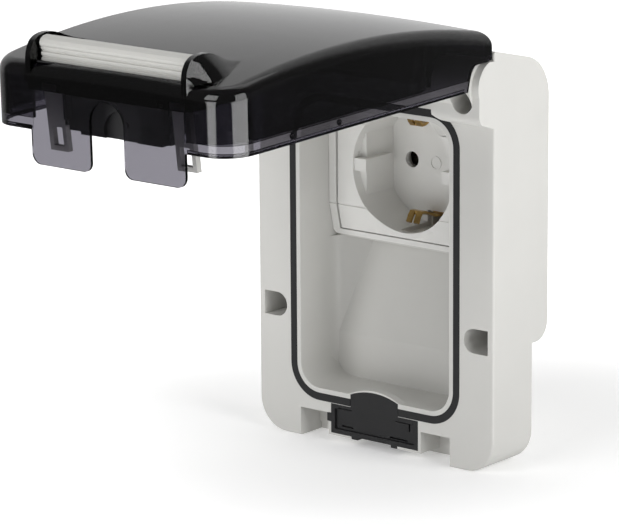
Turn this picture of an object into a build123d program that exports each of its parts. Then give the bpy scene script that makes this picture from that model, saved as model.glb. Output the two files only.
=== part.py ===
"""Outdoor weatherproof socket: a wall housing with a hinged clear lid over an earthed socket insert.

Millimetres, +X to the right seen from the front, +Y into the wall, +Z up.
While it is built, the front face is the plane y = 0 and the feet stand on z = 0.
At the end every piece is moved so that the origin is the middle of the four wall screws on the wall face.
The lid and its latch are modelled about the hinge axis, level and open, and then turned to the rest angle.
"""
import math
import os

from build123d import *

os.makedirs("parts", exist_ok=True)

# Gaps between pieces
running = 0.05               # pin in its bearing, on the radius
moving = 0.4                 # lid to housing
loose = 0.15                 # pieces that are put in and stay
seat = 0.03                  # rubber in its groove

# Housing
width = 93.0                 # over the sides
half = width / 2
front_height = 132.6         # at the front face
upper_depth = 28.0           # front face to wall face
lower_depth = 20.0           # below the step in the back
step_radius = 6.0
top_slope = 13.2             # fall of the top towards the wall, degrees
top_radius = 14.0            # top to wall face
foot_radius = 10.5           # lower corners seen from the front
wall = 2.6
front_wall = 3.0
edge_round = 0.7
tan_top = math.tan(math.radians(top_slope))

# Lid hinge
hinge_drop = 10.62           # hinge axis below the top of the front face
hinge_y = 0.16
hinge_z = front_height - hinge_drop
rest_droop = 1.5             # the open lid hangs this much below level, degrees
barrel_outer = 8.2           # hinge cheek, the layer in line with the lid's side
barrel_inner = 9.4           # hinge cheek, inside the lid's side
cheek_width = 18.2
cheek_fall = 13.08           # cheek's underside below the axis
cheek_front = 7.55
cheek_slope = 2.4            # rise of the cheek's underside over its depth
cheek_round = 3.2
cheek_relief = 1.8           # cheek kept clear of the gasket
layer_gap = 0.35             # between the lid's side and the inner cheek layer
cheek_inner_x = half - cheek_width
cheek_low_z = hinge_z - cheek_fall
hinge_pin = 2.5
lug_width = 7.0
lug_side = 1.8               # lug to cheek
lug_radius = 3.1
lug_out = cheek_inner_x - lug_side
lug_in = lug_out - lug_width
hinge_pin_in = lug_in + 1.0
hinge_pin_out = cheek_inner_x + 6.2
bearing_half = 5.2           # block behind the front wall that takes the hinge

# Pocket behind the lid
pocket_half = 29.5
pocket_floor = 16.8
pocket_drop = 13.88          # upper edge of the pocket below the hinge axis
pocket_top = hinge_z - pocket_drop
pocket_radius = 7.4
pocket_wall = 2.2
insert_drop = 20.9           # middle of the insert below the pocket's upper edge
insert_z = pocket_top - insert_drop
step_drop = 48.9             # underside of the deep upper part below the middle of the insert
step_z = insert_z - step_drop
ramp_skin = 2.3              # wall behind the lower part of the pocket's back
ramp_low = lower_depth - ramp_skin
ramp_top = upper_depth - 3.0
ramp_bend_z = step_z - 7.3   # height where the back starts to lean away
ramp_wall = 1.8
side_bend = 12.0             # depth where the pocket's sides start to draw in

# Front gasket
lip = 1.55                   # lip between pocket and gasket
gasket_width = 2.45
gasket_depth = 2.6
gasket_proud = 0.05          # how far the gasket stands off the front face
gasket_in = pocket_half + lip
gasket_out = gasket_in + gasket_width

# Wall screws
screw_inset = (half - gasket_out) / 2    # screws half way between side and gasket
screw_low_z = step_z + 3.5
screw_high_drop = 4.18       # upper screws below the hinge axis
screw_hole = 4.5
screw_recess = 7.8           # opening for the screw head
recess_shift = 1.0           # the lower openings reach further to the middle
screw_left = 8.0             # material between the screw head and the wall
tower_wall = 1.6
screw_x = half - screw_inset
screw_high_z = hinge_z - screw_high_drop
screw_mid_z = (screw_low_z + screw_high_z) / 2
screw_seat = upper_depth - screw_left

# Seal in the wall face
seal_inset = 1.2
seal_width = 1.7
seal_depth = 1.3
seal_low = step_z + 7.6
seal_high = screw_high_z - 3.6
seal_radius = 5.0

# Bottom of the housing
foot_in = 29.8               # inner side of a foot
foot_wall = 2.2
holder_half = 18.46          # holder of the lower cable seal
holder_wall = 1.06
holder_low = 2.26
holder_floor = 0.74
holder_depth = 11.0
holder_gap = 9.2             # half width of the gap in the holder's floor
holder_in = holder_half - holder_wall
notch_top = 9.35             # lip that the latch legs hook behind
notch_roof = 11.3
notch_lip = 1.0
notch_depth = 9.7
plate_room = 10.6            # depth kept free for the tongue plate
arch_bump = 9.5              # half width of the cable passage through the lip
arch_rise = 1.9
arch_wall = 0.6
bump_depth = 3.0
seal_face = 0.9              # lower seal's face behind its border
seal_border = 1.5
seal_slit = 0.6
seal_top = pocket_floor - lip - gasket_width - 0.15
lug_low = 6.5                # small lug of the lower seal through the holder's side
lug_high = 9.5
lug_out_by = 0.5

# Lid, measured from the hinge axis: along towards its free end, up away from the rim
lid_past = 0.02              # the closed lid reaches this far below the feet
lid_rear = 1.2
lid_front = hinge_z + lid_past
lid_rim = 0.46
lid_wall = 2.2
lid_corner = 9.5
lid_edge = 4.2
rim_wall = 1.1               # thinner wall next to the rim
rim_height = 3.3
dome_peak = 25.2
dome_peak_at = lid_front - 54.0
dome_radius = 300.0
crown_radius = 900.0         # the top is also curved from side to side
rib = 1.4                    # inner wall that presses the gasket
plate_gap = 0.5              # tongue plate to foot
plate_half = foot_in - plate_gap
plate_thick = 1.0
plate_reach = 10.05          # beyond the rim
plate_corner = 3.2
arch_half = 6.5              # cable cut-out in the tongue plate
arch_top = 11.6
arch_corner = 2.8
ear_in = plate_half - 0.6    # ears beside the latch
ear_thick = 1.9
ear_out = ear_in + ear_thick
ear_middle = ear_out + 2.8
ear_foot = ear_out + 6.4     # where an ear runs out on the dome
ear_top = 27.7
ear_long = 26.0              # length of an ear along the lid
ear_fall = 10.8              # from an ear's top to the lowest point of its outline
shelf_up = 14.4              # floor of the latch pocket
front_up = 20.5              # front wall in front of the latch legs
pocket_back = lid_front - 10.5
lid_seal_half = 19.4
lid_seal_face = lid_front - 6.0
seal_cheek = 0.9
flange_thick = 1.1
flange_half = ear_in - 0.4
tongue_half = holder_in - seal_border - 0.4
side_in = half - lid_wall - layer_gap

# Latch
latch_half = ear_in - 0.8
latch_face = lid_front - 4.0
latch_low = 19.8
bar_height = 7.7
bar_depth = 5.2
bar_wall = 1.9
latch_pin = 2.5
latch_pin_in = 2.4           # pin behind the grip's face
latch_pin_up = 3.6           # pin above the grip's lower edge
latch_pin_y = -latch_face + latch_pin_in
latch_pin_z = latch_low + latch_pin_up
latch_pin_deep = 1.8
leg_out = latch_half - 0.1
leg_width = 6.9
leg_in = leg_out - leg_width
leg_end = -6.5
leg_thick = 1.9
leg_lean = 2.8               # how far the leg's end lies behind its root
window_side = 1.5
window_low = -5.0
window_high = 0.7

# Socket insert
insert_face = 14.5           # depth of the socket's face
insert_corner = 2.0
shelf = 1.1                  # ledge below the insert
insert_room_at = 5.0         # behind the front lip the pocket rises to take the insert
bezel = 3.35                 # frame beside the centre plate
plate_half_x = pocket_half - bezel
face_half_z = 13.5           # flat part of the face
slope_back = 1.9
centre_skin = 1.9            # thickness of the centre plate's face
centre_wall = 1.6
seam = 0.8
crease = 0.4                 # fine groove where the flat part ends
well_radius = 19.7
well_flat = 17.0
well_depth = 17.5
well_collar = 3.6            # round mouth before the side flats start
well_wall = 1.6
well_floor = 1.6
well_back = insert_face + well_depth
cup_gap = 0.3
pin_spacing = 19.0
pin_hole = 5.2
mark_radius = 2.2            # raised ring on the well's floor
guide_half = 2.0             # side guide ribs
guide_reach = 2.0
guide_from = 0.8
guide_length = 13.0
clip_slot_half = 3.3
clip_slot_in = 15.6          # slots for the earth clips, from the middle
clip_slot_out = 20.9
clip_slot_long = 14.0
ring_at = insert_face + 4.2  # front of the support ring
ring_thick = 1.0
back_wall_at = ring_at + ring_thick
ring_half_x = pocket_half - 0.9
ring_screw_x = ring_half_x - 3.6
ring_screw = 2.6
ring_screw_head = 2.2
ring_screw_long = upper_depth - wall - back_wall_at - 1.7
base_wall = 1.2
base_radius = well_radius + well_wall + cup_gap + base_wall
base_wing_x = base_radius + 2.2
base_wing_z = 8.0
base_room = 0.4              # air round the base where it passes the housing
base_at = well_back + well_floor
base_end = base_at + 16.4
base_chamfer = 1.2
insert_half_z = base_radius + 0.8
slope_half_z = insert_half_z - 2.0
ring_half_z = insert_half_z - 0.2
ring_screw_z = insert_half_z - 6.1
centre_low = insert_z - slope_half_z
centre_high = insert_z + slope_half_z
insert_top = insert_z + insert_half_z + loose

# Contacts, terminals and earth strap
contact_at = base_at + 2.9
contact_outer = 3.4
contact_bore = 2.45
contact_slit = 0.6
chamber_in = pin_spacing / 2 - 3.9
chamber_out = base_radius - 2.2
chamber_half = 3.7
terminal_at = base_at + 6.9
terminal_end = terminal_at + 6.5
terminal_mid = terminal_at + 3.2
terminal_screw = 2.8
terminal_head = 1.9
terminal_long = 4.2
wire_z = 2.4
wire_hole = 0.95
clamp_thick = 0.8
clamp_half_y = 2.6
clamp_half_z = 2.3
strap_half = 2.4
strap_thick = 0.8
earth_out = chamber_out
earth_in = earth_out - 4.4
strap_end = earth_in + 1.0
clip_gap = 13.6              # earth clip to the middle where it grips
clip_reach = 14.0            # length of a clip in front of the well's back
rivet = 1.8
rivet_head = 1.6
rivet_long = 8.0
rivet_x = base_radius + 0.5

# Back plate
back_half_x = pocket_half + 3.5
back_below = 26.7            # edges below and above the middle of the insert
back_above = 24.8
back_corner = 4.0
back_screw_x = pocket_half - 0.9
back_screw_below = 21.2      # screws below and above the middle of the insert
back_screw_above = 19.4
back_screw = 2.4
back_boss = 5.4
back_sink = 1.4              # screw heads below the wall face
back_low_z = insert_z - back_below
back_high_z = insert_z + back_above
back_screw_low_z = insert_z - back_screw_below
back_screw_high_z = insert_z + back_screw_above


def block(x, y, z):
    """Box between two corners given as (low, high) pairs."""
    middle = Pos((x[0] + x[1]) / 2, (y[0] + y[1]) / 2, (z[0] + z[1]) / 2)
    return middle * Box(x[1] - x[0], y[1] - y[0], z[1] - z[0])


def from_front(sketch, y0, y1):
    """Prism of an (x, z) sketch between two depths."""
    return extrude(Plane.XZ.offset(-y1) * sketch, amount=y1 - y0)


def from_side(sketch, x0, x1):
    """Prism of a (y, z) sketch between two x."""
    return extrude(Plane.YZ.offset(x0) * sketch, amount=x1 - x0)


def from_above(sketch, z0, z1):
    """Prism of an (x, y) sketch between two heights."""
    return extrude(Plane.XY.offset(z0) * sketch, amount=z1 - z0)


def shape(*points):
    """Filled polygon through points."""
    return make_face(Polyline(*points, close=True))


def rounded(face, *corners):
    """Round the corners of a sketch, each given as (x, y, radius)."""
    for x, y, radius in corners:
        corner = face.vertices().sort_by_distance((x, y, 0))[0]
        face = fillet(corner, radius)
    return face


def frame_rect(half_x, low, high, radius):
    """Rounded rectangle in the (x, z) plane."""
    return Pos(0, (low + high) / 2) * RectangleRounded(2 * half_x, high - low, radius)


def pin_x(radius, x0, x1, y, z):
    """Round bar along X."""
    return Pos((x0 + x1) / 2, y, z) * Rot(0, 90, 0) * Cylinder(radius, abs(x1 - x0))


def pin_y(radius, y0, y1, x, z):
    """Round bar along Y."""
    return Pos(x, (y0 + y1) / 2, z) * Rot(90, 0, 0) * Cylinder(radius, y1 - y0)


def both(piece):
    """A piece and its mirror image in the middle plane."""
    return piece + mirror(piece, Plane.YZ)


def largest(part):
    """The biggest solid of a shape."""
    return part.solids().sort_by(SortBy.VOLUME)[-1]


def ring_screw_places():
    """Centres of the four screws that hold the support ring, as (x, z)."""
    return [(x, insert_z + z) for x in (-ring_screw_x, ring_screw_x) for z in (-ring_screw_z, ring_screw_z)]


def back_screw_places():
    """Centres of the four screws that hold the back plate, as (x, z)."""
    heights = (back_screw_low_z, back_screw_high_z)
    return [(x, z) for x in (-back_screw_x, back_screw_x) for z in heights]


# Outline and side profile of the housing body

def body_profile(inset, front):
    """Side view of the housing, drawn in by inset, with its front at depth front."""
    top_front = front_height - inset - tan_top * front
    top_rear = front_height - inset - tan_top * (upper_depth - inset)
    deep = upper_depth - inset
    low = lower_depth - inset
    face = shape((front, inset), (low, inset), (low, step_z + inset), (deep, step_z + inset),
                 (deep, top_rear), (front, top_front))
    step_round = min(step_radius, upper_depth - lower_depth - 0.3) - inset * 0.5
    return rounded(face, (deep, step_z + inset, step_round), (deep, top_rear, top_radius - inset))


def body_outline(inset):
    """Front view of the housing, drawn in by inset."""
    low = inset
    high = front_height + 1
    face = shape((-half + inset, low), (half - inset, low), (half - inset, high), (-half + inset, high))
    return rounded(face, (-half + inset, low, foot_radius - inset), (half - inset, low, foot_radius - inset))


def nose_profile(barrel):
    """Side view of a hinge cheek: a sloping foot below a round barrel about the hinge axis."""
    foot = shape((front_wall, cheek_low_z), (0, cheek_low_z), (-cheek_front, cheek_low_z + cheek_slope),
                 (-cheek_front, hinge_z), (front_wall, hinge_z))
    foot = rounded(foot, (-cheek_front, cheek_low_z + cheek_slope, cheek_round))
    round_end = Pos(hinge_y, hinge_z) * Circle(barrel)
    behind = Pos(front_wall + 20, hinge_z) * Rectangle(40, 60)
    return foot + round_end - behind


def gasket_outline(grow):
    """Outer edge of the gasket, grown by an amount."""
    edge = lip + gasket_width + grow
    return frame_rect(pocket_half + edge, pocket_floor - edge, pocket_top + edge, pocket_radius + edge)


def gasket_hole(grow):
    """Inner edge of the gasket, shrunk by an amount."""
    edge = lip - grow
    return frame_rect(pocket_half + edge, pocket_floor - edge, pocket_top + edge, pocket_radius + edge)


def bump(rise, half_width, low):
    """Arched opening for the cable, seen from the front."""
    arc = ThreePointArc((half_width, pocket_floor), (0, pocket_floor + rise), (-half_width, pocket_floor))
    sides = Polyline((-half_width, pocket_floor), (-half_width, low),
                     (half_width, low), (half_width, pocket_floor))
    return make_face(arc + sides)


def d_recess(grow):
    """D-shaped screw opening at the side: round towards the middle, straight towards the outside."""
    r = screw_recess / 2 + grow
    inner = screw_x - recess_shift
    outer = half - wall + 0.4 + grow
    straight = Pos((inner + outer) / 2, screw_low_z) * Rectangle(outer - inner, 2 * r)
    return Pos(inner, screw_low_z) * Circle(r) + straight


def ramp_face(grow):
    """Side view of the lower pocket: upright at the bottom, then leaning back up to the insert."""
    top = insert_z - insert_half_z - shelf + grow
    low = pocket_floor - grow
    return shape((-2, low), (ramp_low + grow, low), (ramp_low + 0.3 + grow, ramp_bend_z),
                 (ramp_top + grow, top - 2), (ramp_top + grow, top), (-2, top))


def ramp_plan(grow):
    """Top view of the lower pocket: straight sides that draw in as the back leans away."""
    edge = pocket_half + grow
    y = ramp_low + grow
    places = [(edge, side_bend), (edge - 1.0, y), (edge - 3.8, y + 2.5), (edge - 9.2, y + 6.9),
              (edge - 12.0, y + 9.5)]
    right = Spline(*places, tangents=[(0, 1), (-0.65, 0.76)])
    left = Spline(*[(-px, py) for px, py in places], tangents=[(0, 1), (0.65, 0.76)])
    far = places[-1]
    ends = Line((far[0], far[1]), (-far[0], far[1]))
    near = Polyline((edge, side_bend), (edge + 0.5, side_bend - 0.5), (edge + 0.5, -3), (-edge - 0.5, -3),
                    (-edge - 0.5, side_bend - 0.5), (-edge, side_bend))
    return make_face(right + left + ends + near)


def lower_pocket(grow, within):
    """Room below the insert, where the plug's cable bends down, inside a given block."""
    room = within & from_side(ramp_face(grow), -half, half)
    return room & from_above(ramp_plan(grow), 0, insert_z)


def wall_seal_ring(grow):
    """Seal set into the wall face."""
    out_x = half - seal_inset
    in_x = out_x - seal_width
    ring = frame_rect(out_x + grow, seal_low - grow, seal_high + grow, seal_radius + grow)
    ring -= frame_rect(in_x - grow, seal_low + seal_width + grow, seal_high - seal_width - grow,
                       seal_radius - seal_width - grow)
    return from_front(ring, upper_depth - seal_depth, upper_depth)


# Housing: one moulding

def make_housing():
    body = from_side(body_profile(0, 0), -half, half) & from_front(body_outline(0), -1, upper_depth + 1)
    rims = body.faces().sort_by(Axis.Y)[0].edges()
    body = fillet(rims, edge_round)
    hollow = from_side(body_profile(wall, front_wall), -half + wall, half - wall)
    hollow &= from_front(body_outline(wall), 0, upper_depth)

    # what stands in the hollow: pocket walls, leaning back, bottom structure and screw towers
    around = pocket_half + pocket_wall
    pocket_edge = frame_rect(around, pocket_floor - pocket_wall, pocket_top + pocket_wall,
                             pocket_radius + pocket_wall)
    insert_edge = frame_rect(around, insert_z, insert_top + pocket_wall, insert_corner + pocket_wall)
    foot_edge = foot_in + foot_wall
    filled = [from_front(pocket_edge, 0.5, back_wall_at + pocket_wall)]
    filled.append(from_front(insert_edge, insert_room_at - 2, back_wall_at + pocket_wall))
    filled.append(lower_pocket(ramp_wall, block((-half, half), (1, upper_depth), (0, insert_z))))
    filled.append(from_front(gasket_outline(1.6), 0.5, gasket_depth + 1.8))
    filled.append(block((-foot_edge, foot_edge), (0.5, holder_depth + 1.6), (0, pocket_floor - 1)))
    filled.append(both(from_front(d_recess(tower_wall), 0.5, upper_depth + 1)))
    filled.append(both(pin_y(screw_recess / 2 + tower_wall, 0.5, upper_depth + 1, screw_x, screw_high_z)))
    for x, z in back_screw_places():
        filled.append(pin_y(back_boss / 2, back_wall_at, upper_depth, x, z))
    for x, z in ring_screw_places():
        filled.append(pin_y(ring_screw_head + 0.5, back_wall_at, back_wall_at + ring_screw_long, x, z))
    for piece in filled:
        hollow -= piece
    part = body - hollow

    # hinge cheeks, in two layers so that the lid's side can swing past the outer one
    cheek = from_side(nose_profile(barrel_inner), cheek_inner_x, side_in)
    cheek += from_side(nose_profile(barrel_outer), side_in, half)
    cheek -= from_front(gasket_outline(cheek_relief), -20, 0)
    over_top = shape((-20, front_height), (40, front_height - 40 * tan_top), (40, front_height + 40),
                     (-20, front_height + 40))
    cheek -= from_side(over_top, -half, half)
    part += both(cheek)

    # pocket, leaning back and the room for the insert
    pocket = from_front(frame_rect(pocket_half, pocket_floor, pocket_top, pocket_radius), -1, upper_depth)
    ledge_z = insert_z - insert_half_z - shelf
    part -= pocket & block((-half, half), (-1, ring_at), (ledge_z, front_height))
    part -= lower_pocket(0, pocket)
    insert_room = frame_rect(pocket_half, insert_z - insert_half_z - loose, insert_top, insert_corner)
    part -= from_front(insert_room, insert_room_at, back_wall_at)
    part -= base_outline(base_room, back_wall_at - 1, upper_depth + 1)
    part -= from_front(gasket_outline(seat) - gasket_hole(seat), -1, gasket_depth)

    # wall screws: heads go in from the front, shanks pass to the wall
    part -= both(from_front(d_recess(0), -1, screw_seat))
    part -= both(pin_y(screw_recess / 2, -20, screw_seat, screw_x, screw_high_z))
    for z in (screw_low_z, screw_high_z):
        part -= both(pin_y(screw_hole / 2, 0, upper_depth + 1, screw_x, z))

    # opening in the back for the back plate, its screws, and the seal groove round the wall face
    back_opening = frame_rect(back_half_x, back_low_z, back_high_z, back_corner)
    part -= from_front(back_opening, upper_depth - wall, upper_depth + 1)
    for x, z in back_screw_places():
        part -= pin_y(back_screw / 2, back_wall_at + 1, upper_depth, x, z)
    part -= wall_seal_ring(seat)
    for x, z in ring_screw_places():
        part -= pin_y(ring_screw / 2, back_wall_at - 1, back_wall_at + ring_screw_long, x, z)

    # bottom: seal holder, latch notches, room for the tongue plate and the cable passage
    part -= block((-foot_in, foot_in), (-1, plate_room), (-1, holder_low))
    notch = block((holder_half, foot_in), (-1, notch_depth), (0, notch_top))
    notch += block((holder_half, foot_in), (notch_lip, notch_depth), (notch_top - 1, notch_roof))
    part -= both(notch)
    part -= block((-holder_in, holder_in), (-1, holder_depth), (holder_low + holder_floor, seal_top))
    part -= block((-holder_gap, holder_gap), (-1, holder_depth), (0, holder_low + 1))
    part -= block((-holder_half - 0.1, 0), (-1, holder_depth / 2), (lug_low, lug_high))
    part += from_front(bump(arch_rise + arch_wall, arch_bump + arch_wall, pocket_floor - 0.5), 0, bump_depth)
    part -= from_front(bump(arch_rise, arch_bump, holder_low + 4), -1, bump_depth + 0.1)

    # hinge: room for the lid's lugs and holes for the pins
    room = pin_x(lug_radius + moving, lug_in - moving, lug_out + moving, hinge_y, hinge_z)
    bearing = pin_x(hinge_pin / 2, hinge_pin_in, hinge_pin_out, hinge_y, hinge_z)
    behind = block((lug_in - 2, hinge_pin_out + 0.3), (0.5, hinge_y + lug_radius + moving + 1.6),
                   (hinge_z - bearing_half, hinge_z + bearing_half))
    part += both(behind)
    part -= both(room + bearing)
    return largest(part)


def make_front_gasket():
    ring = from_front(gasket_outline(0) - gasket_hole(0), -gasket_proud, gasket_depth)
    ring -= block((-arch_bump - loose, arch_bump + loose), (-2, 9), (0, pocket_floor + 10))
    return largest(ring)


def make_lower_seal():
    """Rubber block in the holder with an arched top that fills the cable passage."""
    side = holder_in - seat
    low = holder_low + holder_floor
    seal = block((-side, side), (0, holder_depth), (low, seal_top - seat))
    seal += from_front(bump(arch_rise - seat, arch_bump - seat, holder_low + 5), 0, bump_depth)
    seal += block((-holder_half - lug_out_by, -side + 1), (0, holder_depth / 2 - loose),
                  (lug_low + loose, lug_high - loose))
    # feet in the gap of the holder's floor, and a sunk face that takes the tongue of the lid's seal
    seal += both(block((holder_gap - 2.6, holder_gap - loose), (0, bump_depth), (holder_low - 0.1, low + 1)))
    seal -= block((-side + seal_border, side - seal_border), (-2, seal_face),
                  (low + seal_border, seal_top - seal_border))
    # grooves that let the rubber give way to a cable
    slit = seal_slit / 2
    deep = (seal_face - 1, seal_face + 0.9)
    for x0, x1, z in ((-14.6, -9.0, 11.3), (7.9, 13.4, 10.9), (-13.6, -9.0, 5.6), (5.6, 12.6, 5.2)):
        seal -= block((x0, x1), deep, (z - slit, z + slit))
    for x, z0, z1 in ((13.4, 8.2, 10.9), (15.4, 8.2, 11.4)):
        seal -= block((x - slit, x + slit), deep, (z0, z1))
    return largest(seal)


# Socket insert

def insert_side(depth):
    """Side view of the insert's face: flat in the middle, sloping back above and below."""
    rear = insert_face + slope_back
    return shape((rear, insert_z - insert_half_z), (rear, insert_z - slope_half_z),
                 (insert_face, insert_z - face_half_z), (insert_face, insert_z + face_half_z),
                 (rear, insert_z + slope_half_z), (rear, insert_z + insert_half_z),
                 (depth, insert_z + insert_half_z), (depth, insert_z - insert_half_z))


def crease_grooves():
    """Fine grooves across the face where the flat part ends."""
    deep = (insert_face - 1, insert_face + crease)
    low = insert_z - face_half_z
    high = insert_z + face_half_z
    lower = block((-half, half), deep, (low - crease / 2, low + crease / 2))
    upper = block((-half, half), deep, (high - crease / 2, high + crease / 2))
    return lower + upper


def base_outline(grow, y0, y1):
    """The socket base seen from the front: round with a wing at each side, grown by an amount."""
    wings = Rectangle(2 * (base_wing_x + grow), 2 * (base_wing_z + grow))
    return from_front(Pos(0, insert_z) * (Circle(base_radius + grow) + wings), y0, y1)


def well_section(radius, flat):
    """Front view of the socket well: a circle with a flat at each side."""
    return Circle(radius) & Rectangle(2 * flat, 3 * radius)


def screw_reliefs(radius, front):
    """Room for the heads of the ring screws and of the base rivets behind the face."""
    room = both(pin_y(rivet_head + 0.2, front, ring_at, rivet_x, insert_z))
    for x, z in ring_screw_places():
        room += pin_y(radius, front, ring_at, x, z)
    return room


def make_centre_plate():
    at = Pos(0, insert_z)
    plate = from_side(insert_side(ring_at), -plate_half_x + seam / 2, plate_half_x - seam / 2)
    plate &= block((-half, half), (0, base_end), (centre_low, centre_high))
    plate -= crease_grooves()
    trough_half = plate_half_x - seam / 2 - centre_wall
    trough = from_side(insert_side(ring_at + 2), -trough_half, trough_half)
    behind = block((-half, half), (0, base_end), (centre_low + centre_wall, centre_high - centre_wall))
    plate -= (Pos(0, centre_skin, 0) * trough) & behind
    plate += from_front(at * Circle(well_radius + well_wall), insert_face + 1, base_at)
    plate -= from_front(at * Circle(well_radius), insert_face - 1, insert_face + well_collar)
    plate -= from_front(at * well_section(well_radius, well_flat), insert_face + 1, well_back)
    guide = block((well_flat - guide_reach, well_radius + 1.0),
                  (insert_face + guide_from, insert_face + guide_from + guide_length),
                  (insert_z - guide_half, insert_z + guide_half))
    plate += both(guide)
    plate -= both(pin_y(pin_hole / 2, well_back - 1, base_at + 1, pin_spacing / 2, insert_z))
    plate += from_front(at * (Circle(mark_radius) - Circle(mark_radius - 0.5)), well_back - 0.3, well_back)
    for side in (-1, 1):
        span = sorted((insert_z + side * clip_slot_in, insert_z + side * clip_slot_out))
        plate -= block((-clip_slot_half, clip_slot_half), (well_back - clip_slot_long, base_at + 1), span)
    plate -= screw_reliefs(ring_screw_head + 0.3, ring_at - 1.8)
    return largest(plate)


def make_insert_frame():
    """Bezel between the centre plate and the pocket."""
    outer = frame_rect(pocket_half - loose, insert_z - insert_half_z, insert_z + insert_half_z, insert_corner)
    frame = from_side(insert_side(ring_at), -half, half) & from_front(outer, 0, ring_at)
    hole = frame_rect(plate_half_x + seam / 2, centre_low - seam / 2, centre_high + seam / 2, 0.5)
    frame -= from_front(hole, 0, ring_at + 1)
    frame -= crease_grooves()
    frame -= screw_reliefs(ring_screw_head + 0.3, ring_at - 1.8)
    return largest(frame)


def make_support_ring():
    outline = frame_rect(ring_half_x, insert_z - ring_half_z, insert_z + ring_half_z, 1.5)
    ring = from_front(outline, ring_at, back_wall_at)
    ring -= pin_y(well_radius + well_wall + cup_gap, ring_at - 1, ring_at + 3, 0, insert_z)
    for x, z in ring_screw_places():
        ring -= pin_y(ring_screw / 2, ring_at - 1, ring_at + 3, x, z)
    ring -= both(pin_y(rivet / 2, ring_at - 1, ring_at + 3, rivet_x, insert_z))
    return ring


def make_ring_screws():
    head = ring_screw_head
    screws = []
    for x, z in ring_screw_places():
        screw = pin_y(ring_screw / 2, ring_at, back_wall_at + ring_screw_long, x, z)
        screw += pin_y(head, ring_at - 1.5, ring_at, x, z)
        screw -= block((x - head, x + head), (ring_at - 2, ring_at - 0.9), (z - 0.3, z + 0.3))
        screws.append(screw)
    return Compound(children=screws)


def make_base_rivets():
    rivets = []
    for x in (-rivet_x, rivet_x):
        pin = pin_y(rivet / 2, ring_at, back_wall_at + rivet_long, x, insert_z)
        pin += pin_y(rivet_head, ring_at - 0.8, ring_at, x, insert_z)
        rivets.append(pin)
    return Compound(children=rivets)


def make_socket_base():
    """Ceramic cup behind the well with chambers for the contacts."""
    base = base_outline(0, back_wall_at, base_end)
    base = chamfer(base.faces().sort_by(Axis.Y)[-1].edges(), base_chamfer)
    base -= pin_y(well_radius + well_wall + cup_gap, back_wall_at - 1, base_at, 0, insert_z)
    base -= both(pin_y(rivet / 2, back_wall_at - 1, back_wall_at + rivet_long, rivet_x, insert_z))
    low = insert_z - chamber_half
    high = insert_z + chamber_half
    chamber = block((chamber_in, chamber_out), (contact_at - 0.4, base_end + 1), (low, high))
    chamber += pin_y(chamber_half, base_at - 1, contact_at, pin_spacing / 2, insert_z)
    chamber += block((chamber_out - 1, half), (terminal_at - 0.4, base_end + 1), (low, high))
    base -= both(chamber)
    strap = (-strap_half, strap_half)
    base -= block(strap, (base_at - 1, base_at + strap_thick), (insert_z - strap_end, insert_z + strap_end))
    base -= block(strap, (base_at - 1, base_end + 1), (insert_z - earth_out, insert_z - earth_in))
    base -= block(strap, (base_at - 1, base_at + 6), (insert_z + earth_in, insert_z + earth_out))
    base -= block(strap, (terminal_at - 0.4, base_end + 1), (insert_z - base_radius - 5, insert_z - earth_in))
    return largest(base)


def make_contact():
    """Round pin sleeve with two slits and a terminal block."""
    x = pin_spacing / 2
    contact = pin_y(contact_outer, contact_at, terminal_at + 1, x, insert_z)
    contact += block((x, chamber_out), (terminal_at, terminal_end),
                     (insert_z - chamber_half, insert_z + chamber_half))
    contact += block((x - contact_outer, x), (terminal_at, terminal_at + 2), (insert_z - 2, insert_z + 2))
    contact -= pin_y(contact_bore, contact_at - 1, terminal_at + 3, x, insert_z)
    contact -= block((x - contact_outer - 1, x + contact_outer + 1), (contact_at - 1, terminal_at - 1),
                     (insert_z - contact_slit / 2, insert_z + contact_slit / 2))
    for z in (insert_z - wire_z, insert_z + wire_z):
        contact -= pin_y(wire_hole, terminal_at + 1.5, terminal_end + 1, chamber_out - 2.2, z)
    contact -= pin_x(terminal_screw / 2, chamber_out - 5, chamber_out + 1, terminal_mid, insert_z)
    return largest(contact)


def clip_path(side):
    """Side view of one earth clip as (y, z): from the spine through the slot to the sprung end."""
    back = base_at + strap_thick
    inner = [(0.33, 2.1), (0.71, 0.1), (0.84, 0.0), (0.92, 1.2), (1.0, 3.3)]
    outer = [(0.955, 3.8), (0.89, 1.9), (0.82, 0.85), (0.71, 0.95), (0.33, 2.9)]
    path = [(back, clip_gap + 2.8)]
    path += [(base_at - reach * clip_reach, clip_gap + out) for reach, out in inner + outer]
    path += [(back, clip_gap + 2.8 + strap_thick)]
    return shape(*[(y, insert_z + side * z) for y, z in path])


def make_earth_strap():
    wide = (-strap_half, strap_half)
    strap = block(wide, (base_at, base_at + strap_thick), (insert_z - strap_end, insert_z + strap_end))
    for side in (-1, 1):
        clip = from_side(clip_path(side), -strap_half, strap_half)
        clip -= block((-0.5, 0.5), (0, base_at - 0.85 * clip_reach), (0, 2 * insert_z))
        strap += clip
    strap += block(wide, (base_at, terminal_end), (insert_z - strap_end, insert_z - earth_in))
    strap += block(wide, (terminal_at, terminal_end), (insert_z - earth_out, insert_z - earth_in))
    strap -= Pos(0, terminal_mid, insert_z - earth_out + 2.4) * Cylinder(terminal_screw / 2, 5)
    return largest(strap)


def terminal_places():
    """Places that turn a terminal drawn along +X onto each of the three terminals."""
    middle = Pos(0, 0, insert_z)
    earth = Pos(0, 0, insert_z + chamber_out - earth_out)
    return [middle, middle * Rot(0, 180, 0), earth * Rot(0, 90, 0)]


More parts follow.
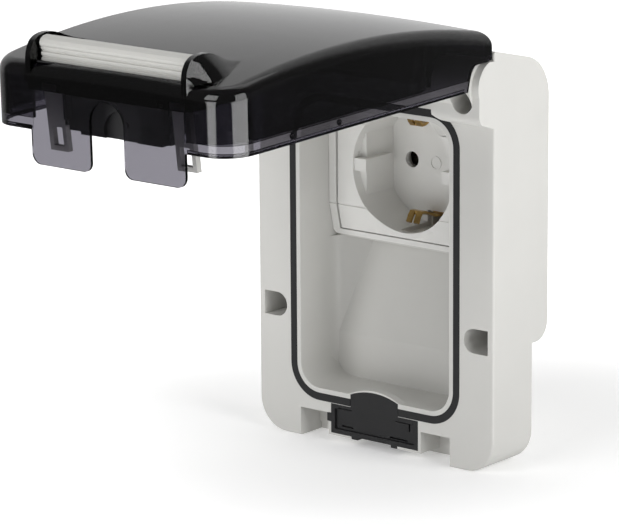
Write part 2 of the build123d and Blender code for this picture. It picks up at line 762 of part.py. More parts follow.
def make_terminal_screws():
    top = chamber_out + clamp_thick
    screw = pin_x(terminal_screw / 2, chamber_out - terminal_long, top, terminal_mid, 0)
    screw += pin_x(terminal_head, top, top + 1.5, terminal_mid, 0)
    screw -= block((top + 0.8, top + 5), (terminal_mid - 0.35, terminal_mid + 0.35), (-3, 3))
    return Compound(children=[place * screw for place in terminal_places()])


def make_terminal_clamps():
    plate = block((chamber_out, chamber_out + clamp_thick),
                  (terminal_mid - clamp_half_y, terminal_mid + clamp_half_y), (-clamp_half_z, clamp_half_z))
    plate -= pin_x(terminal_screw / 2, chamber_out - 1, chamber_out + 5, terminal_mid, 0)
    return Compound(children=[place * plate for place in terminal_places()])


def make_back_plate():
    outline = frame_rect(back_half_x - loose, back_low_z + loose, back_high_z - loose, back_corner - loose)
    plate = from_front(outline, upper_depth - wall, upper_depth)
    plate -= base_outline(base_room, 0, base_end)
    for x, z in back_screw_places():
        plate -= pin_y(back_screw / 2, 0, base_end, x, z)
        plate -= pin_y(back_screw, upper_depth - back_sink, base_end, x, z)
    return largest(plate)


def make_back_plate_screws():
    head_at = upper_depth - back_sink
    screws = []
    for x, z in back_screw_places():
        screw = pin_y(back_screw / 2, back_wall_at + 1.2, head_at, x, z)
        screw += pin_y(back_screw - 0.2, head_at, upper_depth - 0.2, x, z)
        screw -= block((x - 3, x + 3), (head_at + 0.6, upper_depth), (z - 0.3, z + 0.3))
        screws.append(screw)
    return Compound(children=screws)


# Lid, drawn level about the hinge axis: y runs back from the free end, z is up from the rim

def dome(along, inset):
    """Height of the lid's top in its middle plane, at a distance from the hinge."""
    r = dome_radius - inset
    return dome_peak - dome_radius + (r * r - (along - dome_peak_at) ** 2) ** 0.5


def lid_plan(inset, rear):
    """Top view of the lid, drawn in by inset."""
    front = lid_front - inset
    side = half - inset
    plan = shape((-side, -front), (side, -front), (side, -rear), (-side, -rear))
    return rounded(plan, (-side, -front, lid_corner - inset), (side, -front, lid_corner - inset))


def lid_solid(inset, low):
    """The lid's outside, drawn in by inset, as a solid block: a dome turned about a far axis below."""
    rear = lid_rear + inset
    front = lid_front - inset
    start = (-rear, dome(rear, inset))
    end = (-front, dome(front, inset))
    arc = ThreePointArc(start, (-dome_peak_at, dome(dome_peak_at, inset)), end)
    face = make_face(arc + Polyline(end, (-front, low - 4), (-rear, low - 4), start))
    axis = Axis((0, 0, dome_peak - crown_radius), (0, 1, 0))
    turn = math.degrees(half / crown_radius) + 1
    solid = revolve(Plane.YZ * face, axis, 2 * turn).rotate(axis, -turn)
    solid &= from_above(lid_plan(inset, rear), low, dome_peak + 10)
    top = [f for f in solid.faces() if f.normal_at().Z > 0.9]
    return fillet(top[0].edges(), lid_edge - inset * 0.8)


def nose_closed(barrel, grow):
    """Hinge cheek as the closed lid sees it, grown by a clearance, in the lid's (y, z)."""
    corner = (-(cheek_fall - cheek_slope), cheek_front + hinge_y)
    foot = shape((-cheek_fall, -4), (-cheek_fall, hinge_y), corner, (4, corner[1]), (4, -4))
    foot = rounded(foot, (*corner, cheek_round))
    return offset(foot, amount=grow) + Circle(barrel + grow)


def loop_in_lid(face):
    """Turn a front view of the gasket into the plan view of the closed lid."""
    return Pos(0, -hinge_z) * face


def ear_face(x, points, low):
    """One section of an ear: a curve through points, each (back from the free end, down from the top)."""
    places = [(back * ear_long - lid_front, ear_top - down * ear_fall) for back, down in points]
    foot = Polyline(places[-1], (places[-1][0], low), (places[0][0], low), places[0])
    return Plane.YZ.offset(x) * make_face(Spline(*places) + foot)


def ear():
    """Ear beside the latch: a flat inner side, and an outer side that runs out on the dome."""
    tall = [(1.0, 0.47), (0.846, 0.38), (0.673, 0.26), (0.531, 0.12), (0.373, 0.0), (0.208, 0.0),
            (0.085, 0.12), (0.027, 0.324), (0.0, 0.62)]
    middle = [(0.731, 0.546), (0.635, 0.454), (0.538, 0.37), (0.442, 0.315), (0.365, 0.296), (0.288, 0.324),
              (0.212, 0.417), (0.154, 0.565), (0.115, 0.806)]
    low = [(0.577, 0.87), (0.519, 0.796), (0.462, 0.75), (0.415, 0.722), (0.377, 0.713), (0.331, 0.722),
           (0.285, 0.769), (0.242, 0.852), (0.212, 1.0)]
    flat = extrude(ear_face(ear_in, tall, shelf_up), amount=ear_thick, dir=(1, 0, 0))
    sections = [ear_face(ear_out, tall, shelf_up)]
    sections.append(ear_face(ear_middle, middle, shelf_up))
    sections.append(ear_face(ear_foot, low, shelf_up))
    return flat + loft(sections)


def make_lid():
    outside = lid_solid(0, lid_rim)
    shell = outside - lid_solid(lid_wall, lid_rim - 3)
    shell -= from_above(lid_plan(rim_wall, lid_rear + lid_wall), lid_rim - 1, lid_rim + rim_height)

    # S-shaped cut in the side walls and room for the hinge cheeks behind them
    cut = from_side(nose_closed(barrel_outer, moving), half - lid_wall - 0.1, half + 1)
    cut += from_side(nose_closed(barrel_inner, moving), cheek_inner_x - moving, half - lid_wall)
    shell -= both(cut)

    # wall that presses the gasket
    thinner = (gasket_width - rib) / 2
    ring = loop_in_lid(gasket_outline(-thinner)) - loop_in_lid(gasket_hole(-thinner))
    low = hinge_y + gasket_proud + 0.05
    press = from_above(ring, low, dome_peak + 10) & lid_solid(lid_wall * 0.5, lid_rim - 1)

    # latch pocket between two ears, behind a low front wall, with a floor that the legs pass through
    ears = both(ear()) & block((-half, half), (-lid_front + 0.05, 0), (0, ear_top + 10))
    body = shell + ears
    body += press
    inner_front = lid_front - lid_wall
    body -= block((-ear_in, ear_in), (-lid_front - 1, -pocket_back), (front_up, ear_top + 10))
    body -= block((-ear_in, ear_in), (-inner_front, -pocket_back), (shelf_up, ear_top + 10))
    wide = ear_in + 0.5
    room_y = (-lid_front + 0.5, -pocket_back + lid_wall)
    back_y = (-pocket_back, -pocket_back + lid_wall)
    back = block((-wide, wide), back_y, (shelf_up - lid_wall, dome_peak + 10))
    floor = block((-wide, wide), room_y, (shelf_up - lid_wall, shelf_up))
    sides = both(block((ear_in, ear_in + lid_wall), room_y, (shelf_up - lid_wall, dome_peak)))
    body += (back + floor + sides) & outside
    body -= both(block((leg_in - 0.7, ear_in), (-latch_face - 1.4, -latch_face + 5.2), (0, shelf_up + 1)))
    flange = lid_seal_half - 1 + loose
    body -= block((-flange, flange), (-inner_front, -inner_front + flange_thick + loose), (0, shelf_up + 1))

    # thin front wall and tongue plate in line with it, with an arched cut for the cable
    thin = lid_front - plate_thick
    body -= block((-plate_half + 0.4, plate_half - 0.4), (-thin, -thin + lid_wall - plate_thick + 0.2),
                  (lid_rim - 1, shelf_up - lid_wall))
    end = lid_rim - plate_reach
    plate = shape((-plate_half, end), (plate_half, end), (plate_half, rim_height), (-plate_half, rim_height))
    plate = rounded(plate, (-plate_half, end, plate_corner), (plate_half, end, plate_corner))
    plate -= Rectangle(2 * arch_half, 4 * plate_reach)
    plate = rounded(plate, (-arch_half, end, arch_corner), (arch_half, end, arch_corner))
    body += from_front(plate, -lid_front, -thin)
    middle = arch_top - arch_half
    arch = Pos(0, middle) * Circle(arch_half) + Pos(0, middle - 10) * Rectangle(2 * arch_half, 20)
    arch &= Pos(0, arch_top + lid_rim - 10) * Rectangle(60, 2 * (10 - lid_rim))
    body -= from_front(arch, -lid_front - 1, -inner_front + 0.1)

    # cheeks that hold the lid's cable seal
    reach = (-lid_seal_face - 0.8, -pocket_back + lid_wall)
    body += both(block((lid_seal_half, lid_seal_half + seal_cheek), reach, (2.0, shelf_up - 0.5)))
    body += block((-lid_seal_half, lid_seal_half), back_y, (2.0, shelf_up - 0.5))

    # hinge lugs and the bearings of both pairs of pins
    body += both(pin_x(lug_radius, lug_in, lug_out, 0, 0))
    body -= both(pin_x(hinge_pin / 2 + running, hinge_pin_in - 0.2, lug_out + 1, 0, 0))
    body -= both(pin_x(latch_pin / 2, ear_in - 1, ear_out, latch_pin_y, latch_pin_z))
    return largest(body)


def make_lid_seal():
    """Rubber block in the lid that closes the cable slot, with a flange in front of the latch legs."""
    under = shelf_up - lid_wall
    seal = block((-lid_seal_half, lid_seal_half), (-lid_seal_face, -pocket_back), (lid_rim + 0.05, under))
    seal += block((-tongue_half, tongue_half), (-lid_seal_face + 0.5, -pocket_back - 0.7), (-0.5, 3))
    seal -= from_front(Pos(0, 1.5) * Circle(arch_half), -lid_seal_face - 1, -lid_seal_face + 1.2)
    seal += pin_y(0.9, -lid_seal_face + 0.7, -lid_seal_face + 1.4, 1.6, 4.2)
    rib_y = (-lid_seal_face - 2.4, -lid_seal_face + 1)
    seal += both(block((lid_seal_half - 1.2, lid_seal_half - 0.05), rib_y, (4, under)))
    inner_front = lid_front - lid_wall
    web = lid_seal_half - 1
    front = (-inner_front + 0.05, -inner_front + flange_thick)
    seal += block((-web, web), (front[0], -lid_seal_face + 1), (arch_top, under))
    seal += block((-web, web), front, (arch_top, shelf_up + 1))
    seal += block((-flange_half, flange_half), front, (shelf_up, front_up - 0.1))
    return largest(seal)


def make_latch():
    """Grip bar with two hooked legs, one moulding that rocks on two pins."""
    root = -latch_face
    outline = [(0.0, 0.0), (0.0, 0.156), (0.087, 0.182), (0.087, 0.234), (0.0, 0.26), (0.0, 0.377),
               (0.087, 0.403), (0.087, 0.455), (0.0, 0.481), (0.0, 0.584), (-0.096, 0.649), (-0.115, 0.753),
               (-0.019, 0.883), (0.192, 0.974), (0.5, 1.0), (0.846, 0.922), (1.0, 0.779), (1.0, 0.286),
               (0.808, 0.078), (0.577, 0.0)]
    bar = shape(*[(root + deep * bar_depth, latch_low + up * bar_height) for deep, up in outline])
    latch = from_side(bar, -latch_half, latch_half)
    hollow = leg_in - 1.2
    latch -= block((-hollow, hollow), (root + bar_wall, 0), (latch_low - 1, latch_low + 3.4))
    tip = root + leg_lean
    top = latch_low + 0.5
    leg = shape((root, top), (tip, leg_end), (tip + leg_thick, leg_end), (root + leg_thick, top))
    leg = from_side(leg, leg_in, leg_out)
    leg -= block((leg_in + window_side, leg_out - window_side), (root - 10, 0), (window_low, window_high))
    latch += both(leg)
    bore_in = latch_half - latch_pin_deep - 0.2
    latch -= both(pin_x(latch_pin / 2 + running, bore_in, latch_half + 1, latch_pin_y, latch_pin_z))
    return largest(latch)


def make_latch_pin():
    return pin_x(latch_pin / 2, latch_half - latch_pin_deep, ear_out, latch_pin_y, latch_pin_z)


def make_hinge_pin():
    return pin_x(hinge_pin / 2, hinge_pin_in, hinge_pin_out, hinge_y, hinge_z)


home = Pos(0, -upper_depth, -screw_mid_z)
swing = home * Pos(0, hinge_y, hinge_z) * Rot(rest_droop, 0, 0)
pieces = {
    "housing": home * make_housing(),
    "front_gasket": home * make_front_gasket(),
    "wall_seal": home * largest(wall_seal_ring(0)),
    "lower_cable_seal": home * make_lower_seal(),
    "insert_frame": home * make_insert_frame(),
    "centre_plate": home * make_centre_plate(),
    "support_ring": home * make_support_ring(),
    "ring_screws": home * make_ring_screws(),
    "base_rivets": home * make_base_rivets(),
    "socket_base": home * make_socket_base(),
    "live_contact": home * mirror(make_contact(), Plane.YZ),
    "neutral_contact": home * make_contact(),
    "earth_strap": home * make_earth_strap(),
    "terminal_screws": home * make_terminal_screws(),
    "terminal_clamps": home * make_terminal_clamps(),
    "back_plate": home * make_back_plate(),
    "back_plate_screws": home * make_back_plate_screws(),
    "hinge_pin_left": home * mirror(make_hinge_pin(), Plane.YZ),
    "hinge_pin_right": home * make_hinge_pin(),
    "lid": swing * make_lid(),
    "lid_cable_seal": swing * make_lid_seal(),
    "latch_pin_left": swing * mirror(make_latch_pin(), Plane.YZ),
    "latch_pin_right": swing * make_latch_pin(),
    "latch": swing * make_latch(),
}

for name, piece in pieces.items():
    export_step(piece, "parts/" + name + ".step")
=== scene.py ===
"""Dresses the outdoor weatherproof socket: finishes for its solids, small pieces of the lid's rim, floor, light
and camera."""
from math import radians

import bmesh
import bpy
import numpy as np
from bpy.props import FloatProperty, FloatVectorProperty, PointerProperty
from bpy.types import Operator, Panel, PropertyGroup
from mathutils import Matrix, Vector


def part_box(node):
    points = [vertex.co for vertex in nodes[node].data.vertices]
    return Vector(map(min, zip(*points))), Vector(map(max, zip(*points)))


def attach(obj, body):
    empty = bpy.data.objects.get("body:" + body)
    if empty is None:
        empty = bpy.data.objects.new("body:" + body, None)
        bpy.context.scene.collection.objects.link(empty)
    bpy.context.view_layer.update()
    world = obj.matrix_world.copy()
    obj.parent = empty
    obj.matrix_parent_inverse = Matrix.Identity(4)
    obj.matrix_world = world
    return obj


bl_info = {
    "name": "Weatherproof Socket Dressing",
    "version": (1, 0, 0),
    "blender": (4, 5, 0),
    "location": "3D View > Sidebar > Socket",
    "description": "Finishes, detail pieces and studio for an outdoor weatherproof socket",
    "category": "Object",
}

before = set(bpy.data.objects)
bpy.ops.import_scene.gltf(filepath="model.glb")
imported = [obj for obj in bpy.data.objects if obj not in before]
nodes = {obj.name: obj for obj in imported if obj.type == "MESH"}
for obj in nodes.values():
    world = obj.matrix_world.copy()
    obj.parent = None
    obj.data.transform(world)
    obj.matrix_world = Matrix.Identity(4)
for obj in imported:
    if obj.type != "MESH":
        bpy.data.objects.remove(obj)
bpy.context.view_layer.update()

# Open lid: its hinge axis, and how far it hangs below level
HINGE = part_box("hinge_pin_left")
HINGE_Y, HINGE_Z = (HINGE[0].y + HINGE[1].y) / 2, (HINGE[0].z + HINGE[1].z) / 2
REST_DROOP = radians(1.5)

# Inner face of the lid's rim, in metres from the middle, from the hinge and up from the hinge
RIM_SIDE = 0.0454
RIM_FRONT = 0.1209
RIM_CORNER = 0.0084
RIM_PLATE = 0.0297
RIM_START = 0.0145
RIM_UP = 0.00046
KNOBS_ALONG = (0.0949, 0.0737)
KNOB_UP = 0.0026
KNOB_TILT = 0.48 * np.pi
SUNK = 0.00005

# Finishes
TONE_RANGE = (0.965, 1.035)
BUMP_DEPTH = 0.0003
CLEAR_IOR = 1.5
CLEAR_ROUGHNESS = 0.02

# Floor: its half width, and its glow from near to far, kept weak near the object as a painted shade round it
FLOOR_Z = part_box("housing")[0].z
FLOOR_REACH = 6.0
GLOW_WITH_PAINTED_SHADE = {"From Min": 0.09, "From Max": 0.2, "To Min": 0.26, "To Max": 0.75}

# Surroundings: strengths, and directions with the cosines between which they come in
ROOM = 0.16
BACKDROP = 0.74
BOXES = 5.0
UNDER_LOSS = 0.45
BACKDROP_SIDE = ((-0.6, 0.8, 0.0), 0.2, 0.5)
UNDER_SIDE = ((0.0, 0.0, -1.0), 0.1, 0.2)
RIGHT_BOX = ((0.999, -0.044, 0.0), 0.84, 0.88)
FRONT_BOX = ((-0.225, -0.974, 0.0), 0.92, 0.95)
BELOW_LEVEL = ((0.0, 0.0, -1.0), 0.0, 0.05)

# Panel lights: name, power, size, place and the point that each faces
LAMPS = (
    ("Key", 9.4, (0.9, 0.9), (1.2, -0.1, 0.5), (0, -0.03, 0)),
    ("Fill", 8.4, (0.9, 0.8), (-0.28, -1.28, 0.68), (0, -0.03, 0)),
    ("Top", 0.8, (0.8, 0.5), (-0.1, 0.25, 1.0), (0, -0.08, 0.05)),
)

# Camera
EYE = (0.711675, -0.928904, 0.254933)
AIM_DEGREES = (76.5917, 0.4165, 39.2027)
LENS = 220.478
SENSOR_WIDTH = 36
CLIP_END = 50


# Settings that a user would change

def colour(name, description, default):
    """A colour setting in linear light."""
    return FloatVectorProperty(name=name, description=description, default=default, subtype="COLOR",
                               size=3, min=0, max=1)


def length(name, description, default):
    """A length setting in metres."""
    return FloatProperty(name=name, description=description, default=default, unit="LENGTH")


class SocketColours(PropertyGroup):
    """Base colours of the finishes."""
    housing: colour("Housing", "Light grey moulded housing", (0.62, 0.615, 0.59))
    insert: colour("Insert", "Socket insert and its bezel", (0.79, 0.785, 0.76))
    latch: colour("Latch", "Warm white latch", (0.55, 0.545, 0.52))
    smoke: colour("Lid", "Light that the smoked lid lets through", (0.36, 0.345, 0.40))
    rubber: colour("Rubber", "Gasket and cable seals", (0.008, 0.008, 0.009))
    brass: colour("Brass", "Earth clips", (0.45, 0.29, 0.10))
    # Painted shade: the pin contacts' brass is painted near black to stand for the shade deep in the pin holes
    contact: colour("Contacts", "Pin contacts' brass painted near black as the shade of the deep pin holes", (0.05, 0.04, 0.03))
    steel: colour("Steel", "Pins and screws", (0.6, 0.6, 0.61))
    ceramic: colour("Ceramic", "Socket base", (0.72, 0.7, 0.65))
    floor: colour("Floor", "Studio floor", (0.93, 0.93, 0.93))


class SocketSizes(PropertyGroup):
    """Sizes of surface detail."""
    grain: length("Grain size", "Size of the moulded grain", 0.00035)
    streak: length("Streak size", "Size of the cloudy tone in the plastic", 0.02)
    bead: length("Rim bead", "Radius of the bead inside the lid's rim", 0.0006)
    knob: length("Rim knob", "Radius of the knobs inside the lid's rim", 0.0009)
    smoke_density: FloatProperty(name="Smoke density", description="Absorption of the lid's plastic per metre",
                                 default=2080.0)


# Materials

def new_group(name, inputs, outputs):
    """An empty shader node group with named sockets."""
    tree = bpy.data.node_groups.new(name, "ShaderNodeTree")
    for label, kind, value in inputs:
        socket = tree.interface.new_socket(label, in_out="INPUT", socket_type=kind)
        socket.default_value = value
    for label, kind in outputs:
        tree.interface.new_socket(label, in_out="OUTPUT", socket_type=kind)
    return tree, tree.nodes.new("NodeGroupInput"), tree.nodes.new("NodeGroupOutput")


def moulded_group():
    """Moulded plastic: cloudy tone, fine grain height and a roughness that varies with the tone."""
    if "Moulded" in bpy.data.node_groups:
        return bpy.data.node_groups["Moulded"]
    tree, source, sink = new_group(
        "Moulded",
        [("Colour", "NodeSocketColor", (1, 1, 1, 1)), ("Grain", "NodeSocketFloat", 2000.0),
         ("Cloud", "NodeSocketFloat", 40.0), ("Roughness", "NodeSocketFloat", 0.4)],
        [("Colour", "NodeSocketColor"), ("Roughness", "NodeSocketFloat"), ("Height", "NodeSocketFloat")])
    link = tree.links.new
    place = tree.nodes.new("ShaderNodeTexCoord")
    grain = tree.nodes.new("ShaderNodeTexNoise")
    grain.inputs["Detail"].default_value = 2.0
    cloud = tree.nodes.new("ShaderNodeTexNoise")
    cloud.inputs["Detail"].default_value = 3.0
    for noise, size in ((grain, "Grain"), (cloud, "Cloud")):
        link(place.outputs["Object"], noise.inputs["Vector"])
        link(source.outputs[size], noise.inputs["Scale"])
    tone = tree.nodes.new("ShaderNodeMapRange")
    tone.inputs["To Min"].default_value, tone.inputs["To Max"].default_value = TONE_RANGE
    link(cloud.outputs["Fac"], tone.inputs["Value"])
    tint = tree.nodes.new("ShaderNodeVectorMath")
    tint.operation = "SCALE"
    link(source.outputs["Colour"], tint.inputs[0])
    link(tone.outputs["Result"], tint.inputs["Scale"])
    link(tint.outputs["Vector"], sink.inputs["Colour"])
    rough = sums(tree, "MULTIPLY", source.outputs["Roughness"], tone.outputs["Result"])
    link(rough, sink.inputs["Roughness"])
    link(grain.outputs["Fac"], sink.inputs["Height"])
    return tree


def new_material(name):
    """A new material with its node tree and its main shader."""
    material = bpy.data.materials.new(name)
    material.use_nodes = True
    return material, material.node_tree, material.node_tree.nodes["Principled BSDF"]


def surface(name, tint, roughness, bump, metallic=0.0):
    """A finish from the moulded group: colour, roughness and a fine bump."""
    sizes = bpy.context.scene.socket_sizes
    material, tree, shader = new_material(name)
    shader.inputs["Metallic"].default_value = metallic
    group = tree.nodes.new("ShaderNodeGroup")
    group.node_tree = moulded_group()
    group.inputs["Colour"].default_value = (*tint, 1)
    group.inputs["Grain"].default_value = 1 / sizes.grain
    group.inputs["Cloud"].default_value = 1 / sizes.streak
    group.inputs["Roughness"].default_value = roughness
    tree.links.new(group.outputs["Colour"], shader.inputs["Base Color"])
    tree.links.new(group.outputs["Roughness"], shader.inputs["Roughness"])
    height = tree.nodes.new("ShaderNodeBump")
    height.inputs["Strength"].default_value = bump
    height.inputs["Distance"].default_value = BUMP_DEPTH
    tree.links.new(group.outputs["Height"], height.inputs["Height"])
    tree.links.new(height.outputs["Normal"], shader.inputs["Normal"])
    return material


def smoked(name, tint, density):
    """Clear smoked plastic: a glossy clear skin round plastic that takes light away with its thickness."""
    material, tree, shader = new_material(name)
    shader.inputs["Base Color"].default_value = (0.98, 0.98, 0.98, 1)
    shader.inputs["Roughness"].default_value = CLEAR_ROUGHNESS
    shader.inputs["Transmission Weight"].default_value = 1.0
    shader.inputs["IOR"].default_value = CLEAR_IOR
    smoke = tree.nodes.new("ShaderNodeVolumeAbsorption")
    smoke.inputs["Color"].default_value = (*tint, 1)
    smoke.inputs["Density"].default_value = density
    tree.links.new(smoke.outputs["Volume"], tree.nodes["Material Output"].inputs["Volume"])
    return material


def dress(material, *names):
    """Give CAD nodes a material."""
    for name in names:
        piece = nodes[name]
        piece.data.materials.clear()
        piece.data.materials.append(material)


# Detail pieces of the lid

def open_lid(across, along, up):
    """Places on the open lid: across its middle, along from the hinge and up from the hinge, turned about the
    hinge by the droop."""
    y = HINGE_Y - along * np.cos(REST_DROOP) - up * np.sin(REST_DROOP)
    z = HINGE_Z - along * np.sin(REST_DROOP) + up * np.cos(REST_DROOP)
    return np.stack(np.broadcast_arrays(across, y, z), axis=-1)


def closed_grid(points):
    """Vertices and faces of a grid of points that joins up round its second direction and has a cap at each
    end."""
    rows, columns = points.shape[:2]
    index = np.arange(rows * columns).reshape(rows, columns)
    ahead = np.roll(index, -1, axis=1)
    walls = np.stack((index[:-1], ahead[:-1], ahead[1:], index[1:]), axis=-1).reshape(-1, 4)
    return points.reshape(-1, 3), walls.tolist() + [index[0].tolist(), index[-1].tolist()]


def rim_bead(radius):
    """Half-round bead inside the rim: a half circle carried along the rim's inner face, down one side, round
    the corner's quarter circle and along the front to the plate."""
    turn = np.linspace(0, np.pi / 2, 17)
    across = np.concatenate(([RIM_SIDE], RIM_SIDE - RIM_CORNER + RIM_CORNER * np.cos(turn), [RIM_PLATE]))
    along = np.concatenate(([RIM_START], RIM_FRONT - RIM_CORNER + RIM_CORNER * np.sin(turn), [RIM_FRONT]))
    facing = np.concatenate(([0], turn, [np.pi / 2]))[:, None]
    sweep = np.linspace(-np.pi / 2, np.pi / 2, 9)
    depth = radius * np.cos(sweep) - SUNK
    height = RIM_UP + radius + radius * np.sin(sweep)
    return closed_grid(open_lid(across[:, None] - depth * np.cos(facing),
                                along[:, None] - depth * np.sin(facing), height))


def rim_knob(radius, along):
    """Half-round knob on the rim's inner face: circles that shrink with the cosine of a tilt as they rise with
    its sine."""
    tilt = np.linspace(0, KNOB_TILT, 7)[:, None]
    turn = np.linspace(0, 2 * np.pi, 20, endpoint=False)
    across = RIM_SIDE + SUNK - radius * np.sin(tilt)
    wide = radius * np.cos(tilt)
    return closed_grid(open_lid(across, along + wide * np.cos(turn), KNOB_UP + wide * np.sin(turn)))


def lid_piece(name, shapes, material):
    """One object from closed shapes and their mirror images, riding on the lid."""
    corners, faces = [], []
    for points, loops in shapes:
        for mirror in (1, -1):
            start = sum(len(part) for part in corners)
            corners.append(points * (mirror, 1, 1))
            faces += [[start + corner for corner in loop] for loop in loops]
    mesh = bpy.data.meshes.new(name)
    mesh.from_pydata(np.concatenate(corners).tolist(), [], faces)
    shell = bmesh.new()
    shell.from_mesh(mesh)
    bmesh.ops.recalc_face_normals(shell, faces=shell.faces)
    shell.to_mesh(mesh)
    shell.free()
    mesh.polygons.foreach_set("use_smooth", [len(loop) == 4 for loop in faces])
    mesh.materials.append(material)
    piece = bpy.data.objects.new(name, mesh)
    bpy.context.scene.collection.objects.link(piece)
    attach(piece, "lid")


# Studio

def area_light(name, power, size, place, target):
    """A soft panel light that faces a point."""
    lamp = bpy.data.lights.new(name, "AREA")
    lamp.shape = "RECTANGLE"
    lamp.size, lamp.size_y = size
    lamp.energy = power
    panel = bpy.data.objects.new(name, lamp)
    panel.location = place
    panel.rotation_euler = (Vector(target) - Vector(place)).to_track_quat("-Z", "Y").to_euler()
    bpy.context.scene.collection.objects.link(panel)


def toward(tree, axis, start, full):
    """How far a direction leans towards an axis: 0 up to a cosine of start, 1 from a cosine of full."""
    place = tree.nodes.new("ShaderNodeTexCoord")
    lean = tree.nodes.new("ShaderNodeVectorMath")
    lean.operation = "DOT_PRODUCT"
    lean.inputs[1].default_value = axis
    tree.links.new(place.outputs["Generated"], lean.inputs[0])
    ramp = tree.nodes.new("ShaderNodeMapRange")
    ramp.interpolation_type = "SMOOTHSTEP"
    ramp.inputs["From Min"].default_value = start
    ramp.inputs["From Max"].default_value = full
    tree.links.new(lean.outputs["Value"], ramp.inputs["Value"])
    return ramp.outputs["Result"]


def sums(tree, operation, *values):
    """One step of arithmetic on node outputs or plain numbers."""
    step = tree.nodes.new("ShaderNodeMath")
    step.operation = operation
    for socket, value in zip(step.inputs, values):
        if isinstance(value, float):
            socket.default_value = value
        else:
            tree.links.new(value, socket)
    return step.outputs["Value"]


def studio_sky(world):
    """Surroundings by direction: a dim room, a backdrop behind to the left, less light from below and, under
    the table's level where only gloss sees them, the lower parts of two soft boxes, right and in front."""
    world.use_nodes = True
    tree = world.node_tree
    light = sums(tree, "MULTIPLY_ADD", toward(tree, *BACKDROP_SIDE), BACKDROP - ROOM, ROOM)
    loss = sums(tree, "MULTIPLY", toward(tree, *UNDER_SIDE), UNDER_LOSS)
    light = sums(tree, "MULTIPLY", light, sums(tree, "SUBTRACT", 1.0, loss))
    boxes = sums(tree, "ADD", toward(tree, *RIGHT_BOX), toward(tree, *FRONT_BOX))
    low_boxes = sums(tree, "MULTIPLY", boxes, toward(tree, *BELOW_LEVEL))
    light = sums(tree, "ADD", light, sums(tree, "MULTIPLY", low_boxes, BOXES))
    tree.links.new(light, tree.nodes["Background"].inputs["Strength"])
    tree.nodes["Background"].inputs["Color"].default_value = (1, 1, 1, 1)


def lit_floor(name, tone):
    """Pale floor that glows, weakly near the object and more with the distance from it: a painted shade round
    the object.
    """
    material, tree, shader = new_material(name)
    shader.inputs["Base Color"].default_value = (*tone, 1)
    shader.inputs["Roughness"].default_value = 0.9
    shader.inputs["Specular IOR Level"].default_value = 0.0
    shader.inputs["Emission Color"].default_value = (1, 1, 1, 1)
    place = tree.nodes.new("ShaderNodeTexCoord")
    away = tree.nodes.new("ShaderNodeVectorMath")
    away.operation = "LENGTH"
    tree.links.new(place.outputs["Object"], away.inputs[0])
    # Painted shade: the glow is weak near the object and grows with the distance from it
    glow = tree.nodes.new("ShaderNodeMapRange")
    glow.interpolation_type = "SMOOTHSTEP"
    for label, value in GLOW_WITH_PAINTED_SHADE.items():
        glow.inputs[label].default_value = value
    tree.links.new(away.outputs["Value"], glow.inputs["Value"])
    tree.links.new(glow.outputs["Result"], shader.inputs["Emission Strength"])
    return material


# Operators

class SOCKET_OT_housing(Operator):
    """Finish the housing and its back plate"""
    bl_idname = "socket.housing"
    bl_label = "Housing"

    def execute(self, context):
        grey = surface("Housing grey", context.scene.socket_colours.housing, 0.38, 0.06)
        dress(grey, "housing", "back_plate")
        return {"FINISHED"}


class SOCKET_OT_insert(Operator):
    """Finish the socket insert and its ceramic base"""
    bl_idname = "socket.insert"
    bl_label = "Socket insert"

    def execute(self, context):
        colours = context.scene.socket_colours
        dress(surface("Insert grey", colours.insert, 0.3, 0.03), "insert_frame", "centre_plate")
        dress(surface("Base ceramic", colours.ceramic, 0.6, 0.12), "socket_base")
        return {"FINISHED"}


class SOCKET_OT_metal(Operator):
    """Finish contacts, pins and screws"""
    bl_idname = "socket.metal"
    bl_label = "Metal pieces"

    def execute(self, context):
        colours = context.scene.socket_colours
        dress(surface("Bright brass", colours.brass, 0.28, 0.03, metallic=1.0), "earth_strap")
        # Contacts: brass painted near black, a painted shade for the deep pin holes
        dress(surface("Brass painted as hole shade", colours.contact, 0.5, 0.03, metallic=1.0),
              "live_contact", "neutral_contact")
        dress(surface("Zinc steel", colours.steel, 0.35, 0.03, metallic=1.0),
              "support_ring", "ring_screws", "base_rivets", "terminal_screws", "terminal_clamps",
              "back_plate_screws", "hinge_pin_left", "hinge_pin_right", "latch_pin_left", "latch_pin_right")
        return {"FINISHED"}


class SOCKET_OT_seals(Operator):
    """Finish the gasket and the rubber seals"""
    bl_idname = "socket.seals"
    bl_label = "Seals"

    def execute(self, context):
        dress(surface("Black rubber", context.scene.socket_colours.rubber, 0.55, 0.2),
              "front_gasket", "wall_seal", "lower_cable_seal", "lid_cable_seal")
        return {"FINISHED"}


class SOCKET_OT_lid(Operator):
    """Finish the smoked lid"""
    bl_idname = "socket.lid"
    bl_label = "Lid"

    def execute(self, context):
        scene = context.scene
        dress(smoked("Smoked clear", scene.socket_colours.smoke, scene.socket_sizes.smoke_density), "lid")
        return {"FINISHED"}


class SOCKET_OT_rim(Operator):
    """Add the bead and the knobs inside the lid's rim"""
    bl_idname = "socket.rim"
    bl_label = "Lid rim"

    def execute(self, context):
        sizes = context.scene.socket_sizes
        clear = bpy.data.materials["Smoked clear"]
        lid_piece("lid_rim_bead", [rim_bead(sizes.bead)], clear)
        lid_piece("lid_rim_knobs", [rim_knob(sizes.knob, along) for along in KNOBS_ALONG], clear)
        return {"FINISHED"}


class SOCKET_OT_latch(Operator):
    """Finish the latch"""
    bl_idname = "socket.latch"
    bl_label = "Latch"

    def execute(self, context):
        dress(surface("Latch white", context.scene.socket_colours.latch, 0.35, 0.04), "latch")
        return {"FINISHED"}


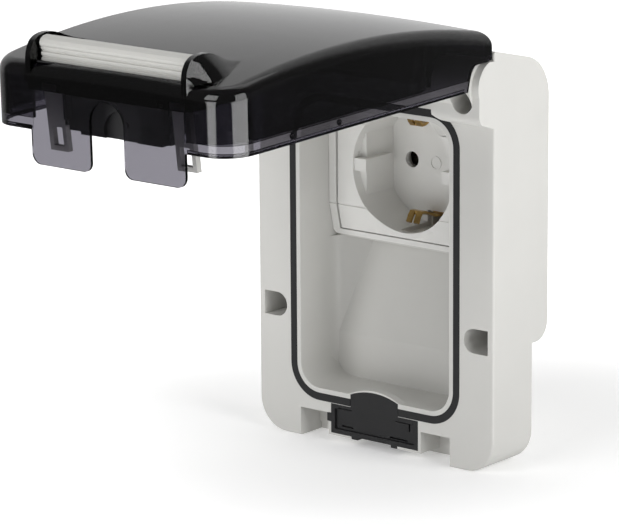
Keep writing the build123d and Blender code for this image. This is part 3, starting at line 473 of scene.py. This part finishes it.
class SOCKET_OT_stage(Operator):
    """Floor, studio light and camera"""
    bl_idname = "socket.stage"
    bl_label = "Studio"

    def execute(self, context):
        scene = context.scene
        mesh = bpy.data.meshes.new("floor")
        corners = ((-1, -1), (1, -1), (1, 1), (-1, 1))
        mesh.from_pydata([(x * FLOOR_REACH, y * FLOOR_REACH, FLOOR_Z) for x, y in corners], [], [(0, 1, 2, 3)])
        mesh.materials.append(lit_floor("Studio floor", scene.socket_colours.floor))
        floor = bpy.data.objects.new("floor", mesh)
        scene.collection.objects.link(floor)
        floor.visible_glossy = False

        scene.world = scene.world or bpy.data.worlds.new("Studio")
        studio_sky(scene.world)
        for lamp in LAMPS:
            area_light(*lamp)

        lens = bpy.data.cameras.new("Camera")
        lens.lens = LENS
        lens.sensor_width = SENSOR_WIDTH
        lens.clip_end = CLIP_END
        camera = bpy.data.objects.new("Camera", lens)
        camera.location = EYE
        camera.rotation_euler = [radians(angle) for angle in AIM_DEGREES]
        scene.collection.objects.link(camera)
        scene.camera = camera
        scene.view_settings.view_transform = "Standard"
        return {"FINISHED"}


STEPS = ("housing", "insert", "metal", "seals", "lid", "rim", "latch", "stage")


class SOCKET_PT_dressing(Panel):
    """Lists the settings and the steps"""
    bl_label = "Weatherproof Socket"
    bl_space_type = "VIEW_3D"
    bl_region_type = "UI"
    bl_category = "Socket"

    def draw(self, context):
        for group in (context.scene.socket_colours, context.scene.socket_sizes):
            for name in group.__annotations__:
                self.layout.prop(group, name)
        for step in STEPS:
            self.layout.operator("socket." + step)


CLASSES = (SocketColours, SocketSizes, SOCKET_OT_housing, SOCKET_OT_insert, SOCKET_OT_metal, SOCKET_OT_seals,
           SOCKET_OT_lid, SOCKET_OT_rim, SOCKET_OT_latch, SOCKET_OT_stage, SOCKET_PT_dressing)


def register():
    for item in CLASSES:
        bpy.utils.register_class(item)
    bpy.types.Scene.socket_colours = PointerProperty(type=SocketColours)
    bpy.types.Scene.socket_sizes = PointerProperty(type=SocketSizes)


def unregister():
    del bpy.types.Scene.socket_sizes
    del bpy.types.Scene.socket_colours
    for item in reversed(CLASSES):
        bpy.utils.unregister_class(item)


def main():
    register()
    for step in STEPS:
        getattr(bpy.ops.socket, step)()


if __name__ == "__main__":
    main()
